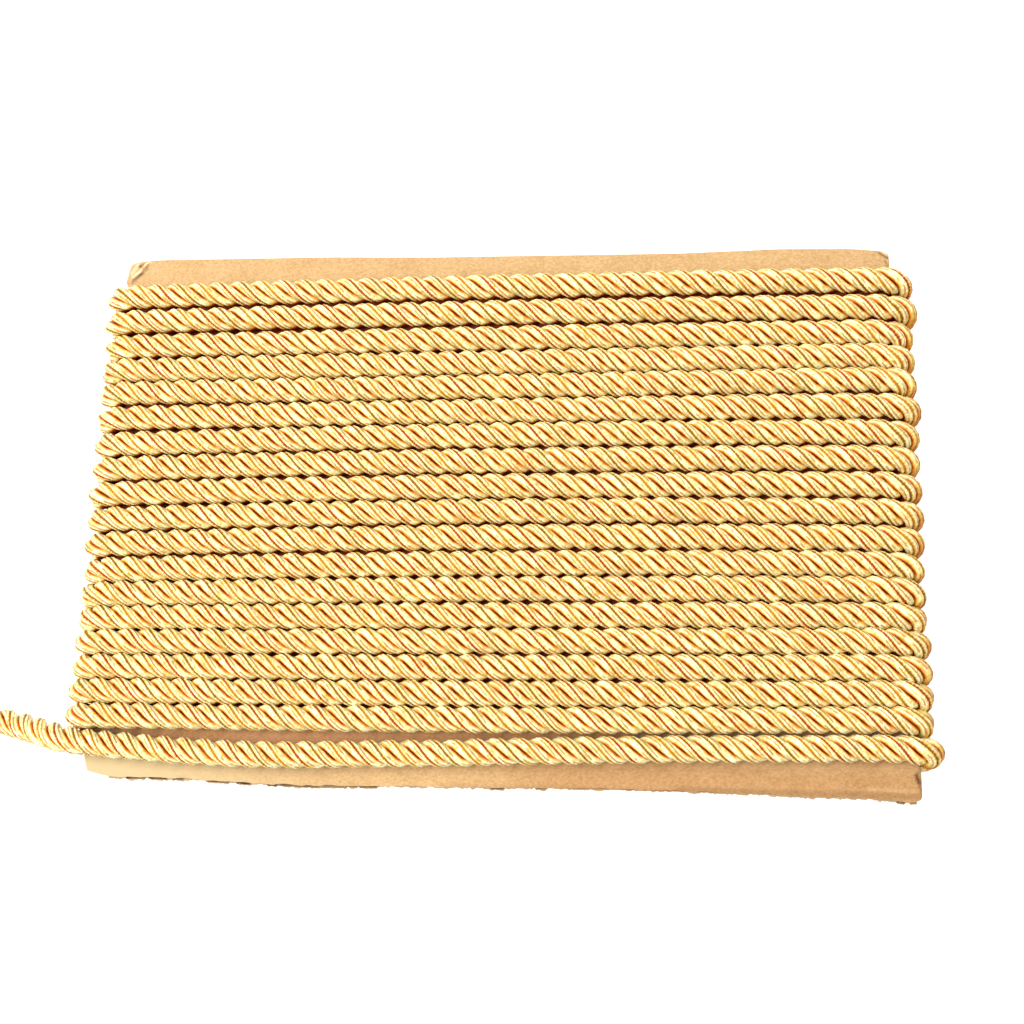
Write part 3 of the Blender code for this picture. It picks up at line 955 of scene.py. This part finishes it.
def build_liners(settings):
    """The card's two liners, a little wavy. The face carries the painted shade and highlight of its
    creases, and is pressed down at a corner.
    """
    x, y, drop = card_grid()
    liner = settings.liner_thickness
    waves = np.array([noise.noise(Vector((a, b, 0.0)) * WAVES_PER_METRE)
                      for a, b in zip(x.flat, y.flat)]).reshape(x.shape) * LINER_WAVES
    back = np.maximum(CARD_THICKNESS / 2 - drop + waves - LINER_WAVES, liner * LEAST_HEIGHT)
    corner_x, corner_y, depth = (size * MM for size in PRESSED_CORNER_MM)
    pressed = depth * np.clip(((y - corner_y) - (x - corner_x)) / PRESSED_SLOPE, 0, 1)
    face = np.maximum(back - pressed, liner * LEAST_HEIGHT)
    pieces = []
    for name, side, skin in (("card_face_liner", 1, face), ("card_back_liner", -1, back)):
        outside, inside = (np.stack([x, y, CARD_MIDDLE_Z + side * height], axis=2)
                           for height in (skin, skin - liner))
        grids = (outside, inside) if side > 0 else (inside, outside)
        piece = closed_sheet(name, *grids, "kraft_liner")
        keep_on_points(piece.data, under_winding=np.tile(under_winding(x, y).ravel(), 2),
                       creases=np.tile((creased(x, y) * (side > 0)).ravel(), 2))
        pieces.append(piece)
    return pieces


def fluted_core(settings):
    """The paper between the liners, fluted along x from one open side edge to the other."""
    sheet = settings.core_thickness
    sections = card_sections()
    ys = np.arange(sections[0, 0] + CORE_MARGIN, sections[-1, 0] - CORE_MARGIN,
                   settings.flute_pitch / 10)
    x, y, drop = across_card(ys, 0.5, 12.0, 1.5, CORE_MARGIN)
    room = CARD_THICKNESS / 2 - drop - CORE_CLEARANCE
    height = np.maximum(room - settings.liner_thickness - sheet / 2, 0.0)
    wave = CARD_MIDDLE_Z + np.sin(math.tau * y / settings.flute_pitch) * height
    top, bottom = (np.stack([x, y, wave + side * sheet / 2], axis=2) for side in (1, -1))
    return closed_sheet("card_fluted_core", top, bottom, "kraft_core")


def torn_edge():
    """The torn fibres of the core and the back liner, which show past the face liner along the near
    edge, with the painted dark shade of the gaps behind it."""
    x = TORN_COLUMNS
    edge = card_sections()[0, 0] - wave_at(x, NEAR_WAVE_MM)
    fringe = TORN_FRINGE + abs(wiggle(x, LONG_FIBRES)) + wiggle(x, SHORT_FIBRES)
    depth = np.zeros(len(x))
    for tear in TEARS_MM:
        inside = (x - tear.start * MM) * (tear.end * MM - x)
        middle = (tear.end - tear.start) / 2 * MM
        depth = np.maximum(depth, tear.depth * np.clip(2.5 * inside / middle ** 2, 0, 1))
    reach = TORN_HIDDEN + np.maximum(fringe, 0.05 * MM) + depth * TORN_EXTRA
    # Three rows of points, from under the face liner down to the tips
    top = np.array([
        np.stack([x, edge + TORN_HIDDEN - share * reach,
                  np.full(len(x), CARD_MIDDLE_Z + (0.4 - share) * MM)], axis=1)
        for share in (0.0, 0.6, 1.0)])
    piece = closed_sheet("torn_card_edge", top, top - UP * TORN_THICKNESS, "torn_paper_fibres")
    keep_on_points(piece.data, past_edge=np.tile(((edge - top[:, :, 1]) / MM).ravel(), 2),
                   gap_depth=np.tile(depth, 2 * len(top)))
    return piece


# ---- settings ------------------------------------------------------------------------------
class CordSettings(bpy.types.PropertyGroup):
    """Sizes and colours of the cord."""
    diameter: FloatProperty(
        name="Diameter", description="Across the cord's plies", default=8.85 * MM,
        unit="LENGTH")
    lay: FloatProperty(
        name="Lay", description="Length in which a strand goes once round the cord",
        default=21.3 * MM, unit="LENGTH")
    loose_lay: FloatProperty(
        name="Loose lay", description="The lay where the cord isn't held by its neighbours",
        default=22.5 * MM, unit="LENGTH")
    rings_per_lay: IntProperty(
        name="Rings per lay", description="How finely the twist is drawn", default=16)
    unevenness: FloatProperty(
        name="Unevenness", description="How lumpy the plies are, as a share of the radius",
        default=0.08)
    # The crest colour is a painted highlight of the satin's sheen
    crest_sheen_colour: FloatVectorProperty(
        name="Crest colour", description="The satin on top of the plies", size=3,
        default=linear("E8E8BC")[:3], subtype="COLOR")
    flank_colour: FloatVectorProperty(
        name="Flank colour", description="The satin where the plies curve down", size=3,
        default=linear("DAAD46")[:3], subtype="COLOR")
    # The groove colour is painted shade between the strands
    groove_shade_colour: FloatVectorProperty(
        name="Groove colour", description="Between the strands", size=3,
        default=linear("4E0F02")[:3], subtype="COLOR")


class CardSettings(bpy.types.PropertyGroup):
    """Sizes and colours of the cardboard card."""
    liner_thickness: FloatProperty(
        name="Liner thickness", description="Of the flat paper on each side",
        default=0.35 * MM, unit="LENGTH")
    core_thickness: FloatProperty(
        name="Core thickness", description="Of the fluted paper", default=0.25 * MM,
        unit="LENGTH")
    flute_pitch: FloatProperty(
        name="Flute pitch", description="From one flute to the next", default=6.4 * MM,
        unit="LENGTH")
    light_colour: FloatVectorProperty(
        name="Light colour", description="The paler clouds of the liner", size=3,
        default=linear("BD9A6E")[:3], subtype="COLOR")
    dark_colour: FloatVectorProperty(
        name="Dark colour", description="The darker clouds of the liner", size=3,
        default=linear("967545")[:3], subtype="COLOR")


class StageSettings(bpy.types.PropertyGroup):
    """The floor and the lights."""
    floor_colour: FloatVectorProperty(
        name="Floor colour", description="Plain pale floor", size=3,
        default=linear("B4B3B1")[:3], subtype="COLOR")
    floor_glow: FloatProperty(
        name="Floor glow", description="How much the floor is lit from below, as on a light table",
        default=1.6)
    key_power: FloatProperty(
        name="Key light", description="The large soft light above, a little to the left",
        default=23.0, unit="POWER")
    sky_strength: FloatProperty(
        name="Sky", description="Soft light from above, weaker near the floor", default=1.25)


# ---- operators -----------------------------------------------------------------------------
class CORDTRIM_OT_stage(bpy.types.Operator):
    """Adds the camera, the floor and the lights"""
    bl_idname = "cordtrim.stage"
    bl_label = "Camera, floor and lights"

    def execute(self, context):
        settings = context.scene.cordtrim_stage
        scene = context.scene
        optics = bpy.data.cameras.new("camera")
        optics.lens, optics.sensor_width = CAMERA_LENS, SENSOR_WIDTH
        optics.sensor_fit = "HORIZONTAL"
        optics.clip_start, optics.clip_end = 0.01, 20
        scene.camera = add_object("camera", optics)
        forward, up = Vector(CAMERA_FORWARD), Vector(CAMERA_UP)
        axes = Matrix((forward.cross(up), up, -forward)).transposed()
        scene.camera.matrix_world = Matrix.Translation(CAMERA_PLACE) @ axes.to_4x4()

        matte_pale_paper(settings)
        floor_mesh = bpy.data.meshes.new("floor")
        floor_mesh.from_pydata(FLOOR_CORNERS, [], [(0, 1, 2, 3)])
        floor_mesh.materials.append(bpy.data.materials["matte_pale_paper"])
        floor = add_object("floor", floor_mesh)

        light = bpy.data.lights.new("key", "AREA")
        light.shape = "RECTANGLE"
        light.size, light.size_y = KEY_SIZE
        light.energy = settings.key_power
        place = Vector(KEY_PLACE)
        turned = (-place).to_track_quat("-Z", "Y").to_matrix().to_4x4()
        add_object("key", light).matrix_world = Matrix.Translation(place) @ turned

        # The sky is weaker towards the floor, and plain white where the camera sees it
        scene.world = bpy.data.worlds.new("soft_sky")
        add = no_nodes_yet(scene.world)
        height = add(SEPARATE, (add(COORDINATES, output="Generated"),), "Z")
        light_from = add(MAP_RANGE, (height, 0.0, 0.9, 0.25 * settings.sky_strength,
                                     settings.sky_strength))
        seen = add("ShaderNodeLightPath", output="Is Camera Ray")
        strength = add(MIX, {0: seen, 2: light_from, 3: 1.0}, data_type="FLOAT")
        background = add("ShaderNodeBackground", (linear("FFFFFF"), strength))
        add("ShaderNodeOutputWorld", (background,), None)
        scene.view_settings.view_transform = "Standard"
        scene.view_settings.look = "None"
        return {"FINISHED"}


class CORDTRIM_OT_winding(bpy.types.Operator):
    """Winds the twisted cord round the card, in pieces of a few turns, and adds its loose end"""
    bl_idname = "cordtrim.winding"
    bl_label = "Wound cord and loose end"

    def execute(self, context):
        settings = context.scene.cordtrim_cord
        satin_gimp_yarn(settings)
        cotton_core()
        tree = cord_tree()
        middles, outward, along = winding_route(settings.lay / settings.rings_per_lay)
        slip = strand_slip(middles, along, settings.lay)
        parts = ring_before_middle(middles, False)[TURNS_PER_PIECE::TURNS_PER_PIECE]
        bounds = [0, *parts, len(middles) - 1]
        lines = run_lines()
        held = (lines[-2][1], lines[0][1])
        for number, (first, last) in enumerate(zip(bounds, bounds[1:]), start=1):
            rings = slice(first, last + 1)
            route = (middles[rings], outward[rings], along[rings], slip[rings],
                     np.ones(last + 1 - first))
            piece = swept_cord(f"wound_cord_{number}", tree, route, settings, settings.lay, held)
            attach(piece, "root")
            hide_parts("wound_cord")

        fine = np.array(smooth_route([Vector(point) * MM for point in ROUTE_MM]))
        up = np.repeat([UP], len(fine), axis=0)
        middles, up, loose_along = evenly_spaced(fine, up,
                                                 settings.loose_lay / settings.rings_per_lay)
        turned = (along[-1] / settings.lay + slip[-1]) % 1
        loose_slip, thickness = loose_twist(loose_along, settings.loose_lay)
        route = (middles, square_to_route(middles, up), loose_along, loose_slip + turned,
                 thickness)
        loose = swept_cord("loose_cord_end", tree, route, settings, settings.loose_lay)
        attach(loose, "root")
        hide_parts("loose_end")
        return {"FINISHED"}


class CORDTRIM_OT_card(bpy.types.Operator):
    """Builds the corrugated card from two liners and a fluted core"""
    bl_idname = "cordtrim.card"
    bl_label = "Cardboard card"

    def execute(self, context):
        settings = context.scene.cordtrim_card
        light = (*settings.light_colour, 1.0)
        dark = (*settings.dark_colour, 1.0)
        kraft_paper("kraft_liner", light, dark)
        kraft_paper("kraft_core", linear("B08A60"), linear("94704A"))
        torn_paper_fibres()
        for piece in (*build_liners(settings), fluted_core(settings), torn_edge()):
            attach(piece, "root")
            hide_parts("card")
        return {"FINISHED"}


class CORDTRIM_PT_panel(bpy.types.Panel):
    """Lists the pieces and their settings"""
    bl_label = "Cord trim"
    bl_space_type = "VIEW_3D"
    bl_region_type = "UI"
    bl_category = "Cord trim"

    def draw(self, context):
        layout = self.layout
        for operator, settings in (
            (CORDTRIM_OT_stage, context.scene.cordtrim_stage),
            (CORDTRIM_OT_winding, context.scene.cordtrim_cord),
            (CORDTRIM_OT_card, context.scene.cordtrim_card),
        ):
            layout.operator(operator.bl_idname)
            for name in settings.__annotations__:
                layout.prop(settings, name)


CLASSES = (CordSettings, CardSettings, StageSettings, CORDTRIM_OT_stage, CORDTRIM_OT_winding,
           CORDTRIM_OT_card, CORDTRIM_PT_panel)


def register():
    for kind in CLASSES:
        bpy.utils.register_class(kind)
    bpy.types.Scene.cordtrim_cord = PointerProperty(type=CordSettings)
    bpy.types.Scene.cordtrim_card = PointerProperty(type=CardSettings)
    bpy.types.Scene.cordtrim_stage = PointerProperty(type=StageSettings)


def unregister():
    del bpy.types.Scene.cordtrim_stage
    del bpy.types.Scene.cordtrim_card
    del bpy.types.Scene.cordtrim_cord
    for kind in reversed(CLASSES):
        bpy.utils.unregister_class(kind)


def main():
    register()
    bpy.ops.cordtrim.stage()
    bpy.ops.cordtrim.winding()
    bpy.ops.cordtrim.card()


if __name__ == "__main__":
    main()
